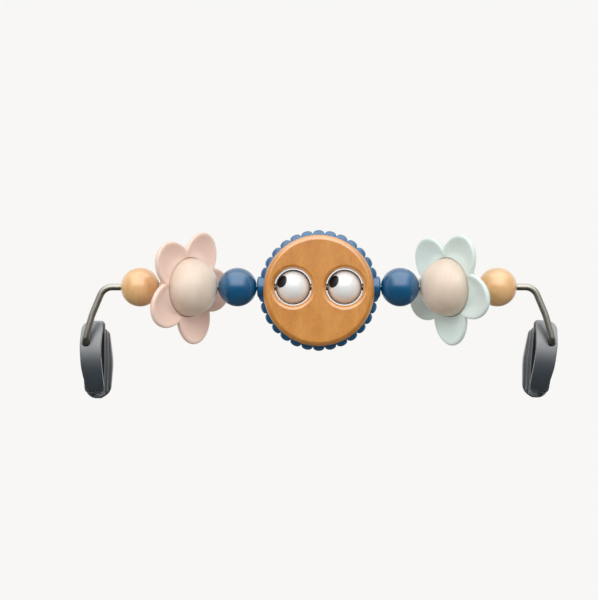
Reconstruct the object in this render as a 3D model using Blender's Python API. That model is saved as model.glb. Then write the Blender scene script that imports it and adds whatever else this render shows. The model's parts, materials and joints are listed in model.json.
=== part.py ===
"""Toy bar for a baby bouncer.

A bent steel rod carries turning beads, two flowers and a wooden disc with two eyes. A clip on
each end of the rod grips the tube of the seat. Metres, +Z up, +X along the bar, and -Y is the
side that the disc's face looks to. The origin is midway between the two clips' tube channels.
"""

import math

import bmesh
import bpy
from mathutils import Matrix, Vector

# Fits
RUNNING_GAP = 0.0004  # round a piece that turns on the rod
SEAT_GAP = 0.0003  # between pieces that touch
CUT_OVERRUN = 0.003  # how far a cutter passes the face it cuts

# Rod
ROD_RADIUS = 0.003
SHOULDER_REACH = 0.0153  # from the last bead to where the bar turns down
SHOULDER_BEND_RADIUS = 0.009
KNEE_REACH = 0.0105  # outwards from the shoulder
KNEE_DROP = 0.025
KNEE_BEND_RADIUS = 0.045
PIN_REACH = 0.0070  # outwards from the knee to the rod's end, on which the clip swivels
PIN_DROP = 0.0497
PIN_BEND_RADIUS = 0.0055

# Beads
BEAD_RADIUS = 0.0175

# Flowers
FLOWER_BALL_RADIUS = 0.0263
FLOWER_TURN = math.radians(52.0)  # of the petals' normal, about Z, away from -Y
LEFT_FLOWER_SPIN = math.radians(5.8)  # about the bar, the near side down
RIGHT_FLOWER_SPIN = math.radians(8.6)
FLOWER_SLEEVE_WALL = 0.0012
WEB_OFFSET = -0.0035  # middle of the petal ring's web, along the petals' normal
WEB_THICKNESS = 0.003
WEB_HOLE_RADIUS = 0.0112
FLOWER_DOWEL_RADIUS = 0.002
FLOWER_DOWEL_REACH = 0.007  # into each half
FLOWER_DOWEL_OFFSET = 0.0175
PETAL_COUNT = 5
PETAL_FIRST_ANGLE = math.radians(27.3)  # clockwise from up
PETAL_CENTRE = 0.0284  # of a petal's outline, from the ball's centre
PETAL_HALF_LENGTH = 0.0243  # of the outline, outwards from the ball
PETAL_HALF_WIDTH = 0.0202
PETAL_LIP_FRONT = 0.0016  # where the ring meets the ball in front
PETAL_LIP_BACK = -0.0085
PETAL_CUP_FLOOR = 0.0012
PETAL_RIM_FRONT = 0.0048
PETAL_RIM_BACK = -0.0015
PETAL_BACK = -0.0055
PETAL_CUP_POWER = 2.6
PETAL_LIP_SHARE = 0.35  # of the way out, over which the petals ease to the hub's lips
PETAL_FRONT_SHARES = (0, 0.22, 0.5, 0.78, 0.93, 1)  # of the way from the hub to the rim
PETAL_BACK_SHARES = (0.92, 0.6, 0)

# Eye disc
DISC_RADIUS = 0.0498
DISC_DROP = 0.003  # of the disc's centre, below the bar
DISC_WOOD_THICKNESS = 0.0075
DISC_ROUND = 0.0045  # of the wood discs' outer edge
PLATE_THICKNESS = 0.012
LOBE_COUNT = 30
LOBE_SHELF = 0.0014  # from the wood's edge to the roots of the lobes
LOBE_HEIGHT = 0.0033
LOBE_FACE_DROP = 0.0012  # of the plate's rim at its faces
PLATE_LEVEL_SHARES = (-1, -0.6, 0.6, 1)  # of half the plate's thickness
BOSS_RADIUS = 0.0098
BOSS_PROUD = 0.0008  # past the lobes' tips
BOSS_ROUND = 0.002
BUSH_WALL = 0.001
DISC_DOWEL_RADIUS = 0.003
DISC_DOWEL_REACH = 0.005  # into each wood disc
DISC_DOWEL_CIRCLE = 0.0365
DISC_DOWEL_ANGLES = (90.0, 225.0, 315.0)  # degrees, from +X

# Eyes
EYE_X = 0.0231
EYE_RADIUS = 0.01525
EYE_HOLE_RADIUS = 0.017
EYE_SINK_RADIUS = 0.02025
EYE_SINK_DEPTH = 0.0035
PUPIL_RADIUS = 0.00565
PUPIL_DEPTH = 0.0035
PUPIL_LOOK_SHARES = (-0.665, -0.67, 0.33)  # direction of the pupil from the eye's centre

# Clips. Reaches are from the pin towards the bar's middle.
CLIP_LENGTH = 0.0715
CLIP_DEPTH = 0.0345
LEFT_CLIP_LEAN = 0.0  # bottom inwards
RIGHT_CLIP_LEAN = math.radians(4.9)
CLIP_TOP_TO_PIN = 0.0187
CLIP_OUTER_TO_PIN = 0.0069  # at the outer side's fullest place
OUTER_BULGE_DROP = 0.012  # of that place, below the pin
OUTER_TOP_INSET = 0.0015
OUTER_FOOT_INSET = 0.006
CLIP_CORNER = 0.008
CLIP_FOOT_CORNER = 0.0105
CLIP_BULGE_RADIUS = 0.085
CLIP_STANDOFF = 0.0045  # from the bar's plane to the crown of the clip's front
CLIP_SPINE = 0.0124  # from the outer side to the channel
FRONT_ARCH = 0.0085  # drop of the front face from its crown to the clip's ends
REAR_ARCH = 0.005
FRONT_WALL = 0.003
WALL_TOP_REACH = 0.0145  # of the front wall's inner edge
WALL_WAIST_REACH = 0.013
WALL_WAIST_DROP = 0.008
WALL_TOE_REACH = 0.0156
WALL_TOE_LIFT = 0.0125  # of the front wall's foot above the clip's bottom
WALL_HEEL_LIFT = 0.0056
WALL_TOP_CORNER = 0.0055
WALL_TOE_CORNER = 0.0015
WALL_HEEL_CORNER = 0.0045
TUBE_RADIUS = 0.005  # of the seat's tube that the clip grips
CHANNEL_REACH = 0.021  # from the front's crown to the rear jaw's face
JAW_STEPS = 3  # in the rear jaw's inner edge, each one further back
JAW_REACH = 0.0143
JAW_CROWN = 0.0003  # fullness of the jaw's inner edge
JAW_CROWN_DROP = 0.022
JAW_TOP_CORNER = 0.0028
JAW_FOOT_CORNER = 0.0045
JAW_STEP_DEPTH = 0.0035
JAW_STEP_BEVEL = 0.0003
JAW_STEP_OUT = 0.0028
JAW_STEP_DROP = 0.0045
JAW_TOP_TAPER = 0.002
JAW_FOOT_TAPER = 0.001
PIN_MOUTH_GAP = 0.0009
PIN_MOUTH_DEPTH = 0.001
PIN_TIP = 0.001
WASHER_RADIUS = 0.0048
WASHER_THICKNESS = 0.001
WASHER_POCKET_GAP = 0.0004
WASHER_POCKET_DEPTH = 0.006
LINER_THICKNESS = 0.0018
LINER_PROUD = 0.0004
LINER_WIDTH = 0.0064
LINER_LENGTH = 0.046
LINER_EDGE = 0.0008  # from the channel's inner corner to the liner

# Places along the bar, each piece against its neighbour
LOBE_ROOT_RADIUS = DISC_RADIUS + LOBE_SHELF
LOBE_TIP_RADIUS = LOBE_ROOT_RADIUS + LOBE_HEIGHT
BOSS_END_X = LOBE_TIP_RADIUS + BOSS_PROUD
BLUE_BEAD_X = BOSS_END_X + SEAT_GAP + BEAD_RADIUS
FLOWER_X = BLUE_BEAD_X + BEAD_RADIUS + FLOWER_BALL_RADIUS
NATURAL_BEAD_X = FLOWER_X + FLOWER_BALL_RADIUS + BEAD_RADIUS
SHOULDER_X = NATURAL_BEAD_X + BEAD_RADIUS + SHOULDER_REACH
KNEE_X = SHOULDER_X + KNEE_REACH
PIN_X = KNEE_X + PIN_REACH

BORE_RADIUS = ROD_RADIUS + RUNNING_GAP
SLEEVE_RADIUS = BORE_RADIUS + FLOWER_SLEEVE_WALL
BUSH_RADIUS = BORE_RADIUS + BUSH_WALL
JAW_FACE = CLIP_STANDOFF + CHANNEL_REACH
WASHER_SEAT = CLIP_STANDOFF + CLIP_DEPTH - WASHER_POCKET_DEPTH
PIN_END_Y = WASHER_SEAT + SEAT_GAP + WASHER_THICKNESS + PIN_TIP
CLIP_BOTTOM = CLIP_TOP_TO_PIN - CLIP_LENGTH
CLIP_MIDDLE_DROP = PIN_DROP - CLIP_TOP_TO_PIN + CLIP_LENGTH / 2
BAR_AXIS = Vector((0.0, TUBE_RADIUS - JAW_FACE, CLIP_MIDDLE_DROP))
LEFT, RIGHT = -1, 1
SIDES = {"left": LEFT, "right": RIGHT}
FLOWER_SPINS = {LEFT: LEFT_FLOWER_SPIN, RIGHT: RIGHT_FLOWER_SPIN}
CLIP_LEANS = {LEFT: LEFT_CLIP_LEAN, RIGHT: RIGHT_CLIP_LEAN}

# Facets
ROD_SIDES = 12
BORE_SIDES = 14
BALL_SIDES = 20
BALL_STEPS = 7
DISC_SIDES = 40
ARC_STEPS = 3
PETAL_STEPS = 8
BEND_STEPS = 4
ARCH_STEPS = 7
LOBE_STEPS = 3
PUPIL_SIDES = 14
PUPIL_STEPS = 2
DOWEL_SIDES = 8
EYE_HOLE_SIDES = 24
WELD_GAP = 1e-6
FLAT_ANGLE = math.radians(0.1)  # beyond which a face is cut into flat ones
SHARP_ANGLE = math.radians(40.0)

# Turns a piece made along Z
ALONG_X = Matrix.Rotation(math.pi / 2, 4, "Y")
ALONG_Y = Matrix.Rotation(-math.pi / 2, 4, "X")
ALONG_MINUS_Y = Matrix.Rotation(math.pi / 2, 4, "X")


def clear_scene():
    for found in list(bpy.data.objects):
        bpy.data.objects.remove(found, do_unlink=True)


def linear(part):
    """A screen colour's part, 0 to 255, as linear light."""
    share = part / 255
    return share / 12.92 if share <= 0.04045 else ((share + 0.055) / 1.055) ** 2.4


def make_material(name, screen_colour, roughness, metallic=0.0):
    made = bpy.data.materials.new(name)
    made.use_nodes = True
    shader = made.node_tree.nodes["Principled BSDF"]
    shader.inputs["Base Color"].default_value = (*map(linear, screen_colour), 1.0)
    shader.inputs["Roughness"].default_value = roughness
    shader.inputs["Metallic"].default_value = metallic
    return made


def link(made, parent):
    bpy.context.scene.collection.objects.link(made)
    made.parent = parent
    return made


def add_empty(name, place, parent=None, turn=None):
    made = link(bpy.data.objects.new(name, None), parent)
    made.location = place
    if turn:
        made.rotation_euler = turn.to_euler()
    return made


def add_object(name, shape, material, parent):
    mesh = bpy.data.meshes.new(name)
    bmesh.ops.recalc_face_normals(shape, faces=shape.faces)
    shape.to_mesh(mesh)
    shape.free()
    mesh.shade_smooth()
    mesh.set_sharp_from_angle(angle=SHARP_ANGLE)
    if material:
        mesh.materials.append(material)
    return link(bpy.data.objects.new(name, mesh), parent)


def add_cutter(name, shape, parent):
    made = add_object(name, shape, None, parent)
    made.hide_render = True
    made.display_type = "WIRE"
    return made


def combine(target, other, operation):
    modifier = target.modifiers.new(other.name, "BOOLEAN")
    modifier.operation = operation
    modifier.object = other


def moved(shape, matrix):
    bmesh.ops.transform(shape, matrix=matrix, verts=shape.verts)
    return shape


def arc(radius, start, end, steps):
    """(across, along) points on a circle round the origin. Angles run from the turning axis."""
    angles = [start + (end - start) * step / steps for step in range(steps + 1)]
    return [(radius * math.sin(angle), radius * math.cos(angle)) for angle in angles]


def lathe(profile, sides):
    """A solid turned about Z from a closed profile of (radius, z) points."""
    shape = bmesh.new()
    rings = []
    for radius, along in profile:
        turns = 1 if radius == 0 else sides
        angles = [2 * math.pi * turn / turns for turn in range(turns)]
        rings.append(
            [shape.verts.new((radius * math.cos(a), radius * math.sin(a), along)) for a in angles]
        )
    for ring, following in zip(rings, rings[1:] + rings[:1]):
        for turn in range(sides):
            corners = [
                ring[turn % len(ring)],
                ring[(turn + 1) % len(ring)],
                following[(turn + 1) % len(following)],
                following[turn % len(following)],
            ]
            corners = list(dict.fromkeys(corners))
            if len(corners) > 2:
                shape.faces.new(corners)
    return shape


def tube(bore, radius, low, high, sides=BORE_SIDES):
    return lathe([(bore, low), (radius, low), (radius, high), (bore, high)], sides)


def rod(radius, low, high, sides=BORE_SIDES):
    return tube(0, radius, low, high, sides)


def stack(levels):
    """A solid through outlines that all have as many points."""
    shape = bmesh.new()
    rings = [[shape.verts.new(point) for point in outline] for outline in levels]
    for ring, following in zip(rings, rings[1:]):
        for here in range(len(ring)):
            after = (here + 1) % len(ring)
            shape.faces.new([ring[here], ring[after], following[after], following[here]])
    shape.faces.new(rings[0])
    shape.faces.new(rings[-1])
    bmesh.ops.remove_doubles(shape, verts=shape.verts, dist=WELD_GAP)
    bmesh.ops.connect_verts_nonplanar(shape, angle_limit=FLAT_ANGLE, faces=shape.faces)
    return shape


def rounded_corner(before, here, after, radius, steps):
    """Points of an arc that rounds the corner at here."""
    if radius == 0:
        return [here]
    back, ahead = (before - here).normalized(), (after - here).normalized()
    half = back.angle(ahead) / 2
    centre = here + (back + ahead).normalized() * (radius / math.sin(half))
    reach = radius / math.tan(half)
    start, end = here + back * reach - centre, here + ahead * reach - centre
    return [centre + start.slerp(end, step / steps) * radius for step in range(steps + 1)]


def rounded_outline(corners, steps=ARC_STEPS):
    """A closed outline of (across, up, radius) corners, as (across, up) points."""
    places = [Vector((across, up, 0.0)) for across, up, _ in corners]
    points = []
    for here, (_, _, radius) in enumerate(corners):
        after = places[(here + 1) % len(places)]
        points += rounded_corner(places[here - 1], places[here], after, radius, steps)
    return [(point.x, point.y) for point in points]


def mirrored_bends(corners):
    """The left half's corners, outer end first, and their mirror images."""
    return corners + [(-x, y, z, radius) for x, y, z, radius in reversed(corners)]


def make_rod(material, bar):
    """The rod's middle line as a curve with round bends and a full bevel."""
    half = mirrored_bends(
        [
            (-PIN_X, PIN_END_Y, -PIN_DROP, 0),
            (-PIN_X, 0, -PIN_DROP, PIN_BEND_RADIUS),
            (-KNEE_X, 0, -KNEE_DROP, KNEE_BEND_RADIUS),
            (-SHOULDER_X, 0, 0, SHOULDER_BEND_RADIUS),
        ]
    )
    places = [Vector(corner[:3]) for corner in half]
    points = [places[0]]
    for before, here, after, corner in zip(places, places[1:], places[2:], half[1:]):
        points += rounded_corner(before, here, after, corner[3], BEND_STEPS)
    points.append(places[-1])
    curve = bpy.data.curves.new("bar_rod", "CURVE")
    curve.dimensions = "3D"
    spline = curve.splines.new("POLY")
    spline.points.add(len(points) - 1)
    for target, point in zip(spline.points, points):
        target.co = (*point, 1.0)
    curve.bevel_depth = ROD_RADIUS
    curve.bevel_resolution = (ROD_SIDES - 4) // 2
    curve.use_fill_caps = True
    curve.materials.append(material)
    return link(bpy.data.objects.new("bar_rod", curve), bar)


def ball(radius, bore, sides=BALL_SIDES):
    """A ball about Z with a bore through it."""
    mouth = math.asin(bore / radius)
    return lathe(arc(radius, mouth, math.pi - mouth, BALL_STEPS), sides)


def make_bead(name, x, material, bar):
    axis = add_empty(name + "_axis", (x, 0, 0), bar)
    add_object(name, moved(ball(BEAD_RADIUS, BORE_RADIUS), ALONG_X), material, axis)


def flower_frame(side):
    """Columns are the ring's sideways direction, up, and the petals' normal."""
    lean = -side * math.sin(FLOWER_TURN)
    sideways = Vector((math.cos(FLOWER_TURN), lean, 0))
    normal = Vector((lean, -math.cos(FLOWER_TURN), 0))
    frame = Matrix((sideways, Vector((0, 0, 1)), normal)).transposed()
    return Matrix.Rotation(FLOWER_SPINS[side], 3, "X") @ frame


def dome(flat, pole):
    """The part of the flower's ball from a flat cut out to a pole, +1 or -1 along Z."""
    start = math.acos(flat / FLOWER_BALL_RADIUS)
    end = 0 if pole > 0 else math.pi
    skin = arc(FLOWER_BALL_RADIUS, start, end, BALL_STEPS)
    skin[-1] = (0, pole * FLOWER_BALL_RADIUS)
    return lathe([(0, flat)] + skin, BALL_SIDES)


def petal_section(across, reach):
    """Height of a petal's front and back at a share of the way from its middle to its outline."""
    rim_half = (PETAL_RIM_FRONT - PETAL_RIM_BACK) / 2
    cup = reach**PETAL_CUP_POWER
    front = PETAL_CUP_FLOOR + (PETAL_RIM_FRONT - PETAL_CUP_FLOOR) * cup
    back = PETAL_BACK + (PETAL_RIM_BACK - PETAL_BACK) * cup
    past = max(0.0, (reach - 1) * PETAL_HALF_WIDTH / rim_half + 1)
    fullness = math.sqrt(max(0.0, 1 - past * past))
    middle, half = (front + back) / 2, (front - back) / 2 * fullness
    ease = min(1.0, across / PETAL_LIP_SHARE)
    ease = ease * ease * (3 - 2 * ease)
    front = PETAL_LIP_FRONT + (middle + half - PETAL_LIP_FRONT) * ease
    back = PETAL_LIP_BACK + (middle - half - PETAL_LIP_BACK) * ease
    return front, back


def notch_angle():
    """Direction from a petal's middle to where its oval outline meets the next petal's."""
    half_pitch = math.pi / PETAL_COUNT
    along = math.cos(half_pitch) / PETAL_HALF_LENGTH
    aside = math.sin(half_pitch) / PETAL_HALF_WIDTH
    middle = PETAL_CENTRE / PETAL_HALF_LENGTH
    size = along * along + aside * aside
    reach = along * middle + math.sqrt((along * middle) ** 2 - size * (middle * middle - 1))
    return math.atan2(reach / size * aside, reach / size * along - middle)


def petal_ring():
    """One-piece ring of petals: a loop of points at each direction round the ball."""
    hub = FLOWER_BALL_RADIUS + SEAT_GAP
    web_front = WEB_OFFSET + WEB_THICKNESS / 2
    web_back = WEB_OFFSET - WEB_THICKNESS / 2
    pitch = 2 * math.pi / PETAL_COUNT
    notch_turn = notch_angle()
    shape = bmesh.new()
    loops = []
    for petal in range(PETAL_COUNT):
        for step in range(PETAL_STEPS):
            turn = notch_turn * (2 * step / PETAL_STEPS - 1)
            ahead = PETAL_CENTRE + PETAL_HALF_LENGTH * math.cos(turn)
            aside = PETAL_HALF_WIDTH * math.sin(turn)
            rim, from_middle = math.hypot(ahead, aside), math.atan2(aside, ahead)
            direction = PETAL_FIRST_ANGLE + pitch * petal + from_middle

            def point(radius, height):
                return shape.verts.new(
                    (radius * math.sin(direction), radius * math.cos(direction), height)
                )

            def on_petal(share, side):
                radius = hub + (rim - hub) * share
                along = (radius * math.cos(from_middle) - PETAL_CENTRE) / PETAL_HALF_LENGTH
                reach = math.hypot(along, radius * math.sin(from_middle) / PETAL_HALF_WIDTH)
                return point(radius, petal_section(share, min(1.0, reach))[side])

            loop = [point(WEB_HOLE_RADIUS, web_front), point(hub, web_front)]
            loop += [on_petal(share, 0) for share in PETAL_FRONT_SHARES]
            loop += [on_petal(share, 1) for share in PETAL_BACK_SHARES]
            loop += [point(hub, web_back), point(WEB_HOLE_RADIUS, web_back)]
            loops.append(loop)
    for loop, following in zip(loops, loops[1:] + loops[:1]):
        for here in range(len(loop)):
            after = (here + 1) % len(loop)
            shape.faces.new([loop[here], loop[after], following[after], following[here]])
    return shape


def make_flower(side_name, side, materials, bar):
    name = side_name + "_flower"
    frame = flower_frame(side)
    axis = add_empty(name + "_axis", (side * FLOWER_X, 0, 0), bar, frame)
    web_front = WEB_OFFSET + WEB_THICKNESS / 2
    web_back = WEB_OFFSET - WEB_THICKNESS / 2
    along_bar = (frame.transposed() @ Vector((1, 0, 0))).to_track_quat("Z", "Y")
    along_bar = along_bar.to_matrix().to_4x4()
    front = add_object(name + "_ball_front", dome(web_front + SEAT_GAP, 1), materials["ball"], axis)
    rear = add_object(name + "_ball_rear", dome(web_back - SEAT_GAP, -1), materials["ball"], axis)
    ring = add_object(name + "_petals", petal_ring(), materials[side_name + "_petals"], axis)

    past = FLOWER_BALL_RADIUS + CUT_OVERRUN
    bore = moved(rod(SLEEVE_RADIUS + SEAT_GAP, -past, past), along_bar)
    bore = add_cutter(name + "_bore", bore, axis)
    for half in (front, rear):
        combine(half, bore, "DIFFERENCE")
    end = math.sqrt(FLOWER_BALL_RADIUS**2 - SLEEVE_RADIUS**2)
    sleeve = moved(tube(BORE_RADIUS, SLEEVE_RADIUS, -end, end), along_bar)
    add_object(name + "_sleeve", sleeve, materials["sleeve"], axis)

    low, high = web_back - FLOWER_DOWEL_REACH, web_front + FLOWER_DOWEL_REACH
    for place, place_sign in {"upper": 1, "lower": -1}.items():
        shift = Matrix.Translation((0, place_sign * FLOWER_DOWEL_OFFSET, 0))
        dowel = moved(rod(FLOWER_DOWEL_RADIUS, low, high, DOWEL_SIDES), shift)
        add_object(f"{name}_{place}_dowel", dowel, materials["dowel"], axis)
        hole = rod(FLOWER_DOWEL_RADIUS + SEAT_GAP, low - SEAT_GAP, high + SEAT_GAP, DOWEL_SIDES)
        hole = add_cutter(f"{name}_{place}_dowel_hole", moved(hole, shift), axis)
        for piece in (front, rear, ring):
            combine(piece, hole, "DIFFERENCE")


def disc_wood():
    """One wood disc about Z, its inner face at the bottom and its outer edge rounded."""
    low = PLATE_THICKNESS / 2 + SEAT_GAP
    high = low + DISC_WOOD_THICKNESS
    middle = Vector((DISC_RADIUS - DISC_ROUND, high - DISC_ROUND))
    edge = [tuple(middle + Vector(p)) for p in arc(DISC_ROUND, math.pi / 2, 0, ARC_STEPS)]
    return lathe([(0, low), (DISC_RADIUS, low)] + edge + [(0, high)], DISC_SIDES)


def lobed_outline(depth_share):
    """Outline of the scalloped plate at a share of the way from its middle plane to its face."""
    fullness = math.sqrt(1 - depth_share * depth_share)
    root = LOBE_ROOT_RADIUS - LOBE_FACE_DROP * abs(depth_share) ** 3
    points = []
    for step in range(LOBE_COUNT * LOBE_STEPS):
        turn = 2 * math.pi * step / (LOBE_COUNT * LOBE_STEPS)
        across = 2 * (step % LOBE_STEPS) / LOBE_STEPS - 1
        bulge = math.sqrt(1 - across * across) * fullness
        radius = root + LOBE_HEIGHT * bulge
        points.append((radius * math.sin(turn), radius * math.cos(turn)))
    return points


def eye_hole():
    """Cutter for one eye's hole through the whole disc, wider at both faces."""
    face = PLATE_THICKNESS / 2 + SEAT_GAP + DISC_WOOD_THICKNESS
    far, floor = face + CUT_OVERRUN, face - EYE_SINK_DEPTH
    flare = (EYE_SINK_RADIUS - EYE_HOLE_RADIUS) / EYE_SINK_DEPTH
    widest = EYE_SINK_RADIUS + flare * CUT_OVERRUN
    profile = [
        (0, -far),
        (widest, -far),
        (EYE_HOLE_RADIUS, -floor),
        (EYE_HOLE_RADIUS, floor),
        (widest, far),
        (0, far),
    ]
    return moved(lathe(profile, EYE_HOLE_SIDES), ALONG_Y)


def boss():
    """One side boss of the plate, about Z, from the wood's edge outwards."""
    middle = Vector((BOSS_RADIUS - BOSS_ROUND, BOSS_END_X - BOSS_ROUND))
    edge = [tuple(middle + Vector(p)) for p in arc(BOSS_ROUND, math.pi / 2, 0, ARC_STEPS)]
    low = DISC_RADIUS + SEAT_GAP
    return lathe([(0, low), (BOSS_RADIUS, low)] + edge + [(0, BOSS_END_X)], BALL_SIDES)


def make_disc(materials, bar):
    axis = add_empty("disc_axis", (0, 0, 0), bar)
    centre = add_empty("disc_centre", (0, 0, -DISC_DROP), axis)
    front = add_object("disc_front", moved(disc_wood(), ALONG_MINUS_Y), materials["disc"], centre)
    rear = add_object("disc_rear", moved(disc_wood(), ALONG_Y), materials["disc"], centre)
    half = PLATE_THICKNESS / 2
    levels = [
        [(x, share * half, z) for x, z in lobed_outline(share)] for share in PLATE_LEVEL_SHARES
    ]
    plate = add_object("scalloped_plate", stack(levels), materials["plate"], centre)

    for side_name, side in SIDES.items():
        turned = Matrix.Rotation(side * math.pi / 2, 4, "Y")
        combine(plate, add_cutter(f"{side_name}_boss", moved(boss(), turned), axis), "UNION")
        hole = add_cutter(f"{side_name}_eye_hole", eye_hole(), axis)
        hole.location.x = side * EYE_X
        for piece in (front, rear, plate):
            combine(piece, hole, "DIFFERENCE")
        low = EYE_X + EYE_HOLE_RADIUS + SEAT_GAP
        bush = moved(tube(BORE_RADIUS, BUSH_RADIUS, low, BOSS_END_X), turned)
        add_object(f"disc_bush_{side_name}", bush, materials["bush"], axis)

    past, seat = BOSS_END_X + CUT_OVERRUN, BUSH_RADIUS + SEAT_GAP
    profile = [
        (0, -past),
        (seat, -past),
        (seat, -EYE_X),
        (BORE_RADIUS, -EYE_X),
        (BORE_RADIUS, EYE_X),
        (seat, EYE_X),
        (seat, past),
        (0, past),
    ]
    bore = add_cutter("disc_bore", moved(lathe(profile, BORE_SIDES), ALONG_X), axis)
    combine(plate, bore, "DIFFERENCE")

    end = half + SEAT_GAP + DISC_DOWEL_REACH
    for number, degrees in enumerate(DISC_DOWEL_ANGLES, start=1):
        turn = math.radians(degrees)
        place = Vector((math.cos(turn), 0, math.sin(turn))) * DISC_DOWEL_CIRCLE
        shift = Matrix.Translation(place) @ ALONG_Y
        dowel = moved(rod(DISC_DOWEL_RADIUS, -end, end, DOWEL_SIDES), shift)
        add_object(f"disc_dowel_{number}", dowel, materials["dowel"], centre)
        hole = rod(DISC_DOWEL_RADIUS + SEAT_GAP, -end - SEAT_GAP, end + SEAT_GAP, DOWEL_SIDES)
        hole = add_cutter(f"disc_dowel_hole_{number}", moved(hole, shift), centre)
        for piece in (front, rear, plate):
            combine(piece, hole, "DIFFERENCE")


def make_eye(side_name, side, materials, bar):
    axis = add_empty(side_name + "_eye_axis", (side * EYE_X, 0, 0), bar)
    eye = moved(ball(EYE_RADIUS, BORE_RADIUS), ALONG_X)
    eye = add_object(side_name + "_eyeball", eye, materials["eye"], axis)
    look = Vector(PUPIL_LOOK_SHARES).to_track_quat("Z", "Y").to_matrix().to_4x4()
    edge = math.asin(PUPIL_RADIUS / EYE_RADIUS)
    floor = EYE_RADIUS * math.cos(edge) - PUPIL_DEPTH
    skin = arc(EYE_RADIUS, edge, 0, PUPIL_STEPS)
    skin[-1] = (0, EYE_RADIUS)
    plug = lathe([(0, floor), (PUPIL_RADIUS, floor)] + skin, PUPIL_SIDES)
    add_object(side_name + "_pupil", moved(plug, look), materials["pupil"], axis)
    past = EYE_RADIUS + CUT_OVERRUN
    socket = moved(rod(PUPIL_RADIUS + SEAT_GAP, floor - SEAT_GAP, past, PUPIL_SIDES), look)
    combine(eye, add_cutter(side_name + "_pupil_socket", socket, axis), "DIFFERENCE")


def clip_outline(depth, side, inner, foot, foot_corner):
    """One layer of the clip, at a depth behind the bar's plane, from its inner edge's corners."""
    foot_share = (foot + OUTER_BULGE_DROP) / (CLIP_BOTTOM + OUTER_BULGE_DROP)
    corners = [
        (OUTER_TOP_INSET - CLIP_OUTER_TO_PIN, CLIP_TOP_TO_PIN, CLIP_CORNER),
        *inner,
        (OUTER_FOOT_INSET * foot_share - CLIP_OUTER_TO_PIN, foot, foot_corner),
        (-CLIP_OUTER_TO_PIN, -OUTER_BULGE_DROP, CLIP_BULGE_RADIUS),
    ]
    return [(-side * inward, depth, up) for inward, up in rounded_outline(corners)]


def wall_layer():
    """Corners of the front wall's inner edge, then the height and the corner of its heel."""
    inner = [
        (WALL_TOP_REACH, CLIP_TOP_TO_PIN, WALL_TOP_CORNER),
        (WALL_WAIST_REACH, -WALL_WAIST_DROP, CLIP_BULGE_RADIUS),
        (WALL_TOE_REACH, CLIP_BOTTOM + WALL_TOE_LIFT, WALL_TOE_CORNER),
    ]
    return inner, CLIP_BOTTOM + WALL_HEEL_LIFT, WALL_HEEL_CORNER


def jaw_layer(number):
    """The same for one step of the rear jaw."""
    reach = JAW_REACH + number * JAW_STEP_OUT
    top = CLIP_TOP_TO_PIN - number * JAW_STEP_DROP
    inner = [
        (reach - JAW_CROWN - number * JAW_TOP_TAPER, top, JAW_TOP_CORNER),
        (reach, -JAW_CROWN_DROP, CLIP_BULGE_RADIUS),
        (reach - JAW_CROWN - number * JAW_FOOT_TAPER, CLIP_BOTTOM, JAW_FOOT_CORNER),
    ]
    return inner, CLIP_BOTTOM, CLIP_FOOT_CORNER


def arched(crown, drop, low, high, side_sign):
    """(depth, up) points of a face that falls away from its crown towards the clip's ends."""
    middle = CLIP_TOP_TO_PIN - CLIP_LENGTH / 2
    points = []
    for step in range(ARCH_STEPS + 1):
        up = low + (high - low) * step / ARCH_STEPS
        share = (up - middle) / (CLIP_LENGTH / 2)
        points.append((crown + side_sign * drop * share * share, up))
    return points


def across_prism(outline, side, low, high):
    """A solid from (depth, up) points, between two distances towards the bar's middle."""
    return stack([[(-side * inward, depth, up) for depth, up in outline] for inward in (low, high)])


def liner_block(side, clearance):
    """The flat pad in the rear jaw's face, or its pocket when there is a clearance round it."""
    middle = CLIP_TOP_TO_PIN - CLIP_LENGTH / 2
    low = middle - LINER_LENGTH / 2 - clearance
    high = middle + LINER_LENGTH / 2 + clearance
    face = JAW_FACE - LINER_PROUD
    seat = face + LINER_THICKNESS + clearance
    inner = LINER_EDGE + CLIP_SPINE - CLIP_OUTER_TO_PIN
    outline = [(face, low), (face, high), (seat, high), (seat, low)]
    return across_prism(outline, side, inner - clearance, inner + LINER_WIDTH + clearance)


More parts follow.
